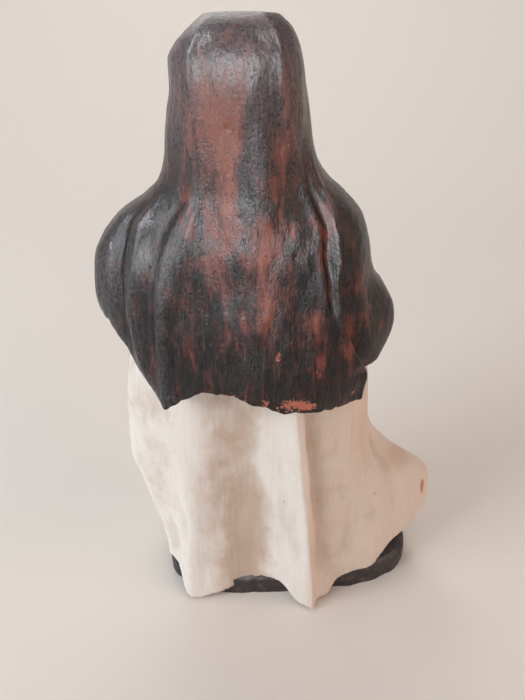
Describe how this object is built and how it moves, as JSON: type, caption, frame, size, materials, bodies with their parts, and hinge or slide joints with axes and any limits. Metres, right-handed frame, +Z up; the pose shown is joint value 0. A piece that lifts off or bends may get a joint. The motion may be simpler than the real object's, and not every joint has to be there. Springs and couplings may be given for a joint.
{
  "type": "ceramic saint statue",
  "caption": "Standing veiled saint with joined hands, in a long mantle and a floor-length robe, on a low oval plinth, hand-modelled in painted fired clay.",
  "frame": {"origin": "middle of the plinth's flat underside", "axes": "+Z up to the crown of the veil, the statue faces -Y, and its right hand is on the -X side"},
  "size_m": [0.1455, 0.0845, 0.24],
  "materials": {
    "fired_clay": "Hand-painted fired clay: worn dark glaze over red terracotta on the mantle, matt off-white slip on the robe, dark brown plinth."
  },
  "bodies": {
    "root": {"saint_statue": "fired_clay"}
  },
  "joints": []
}
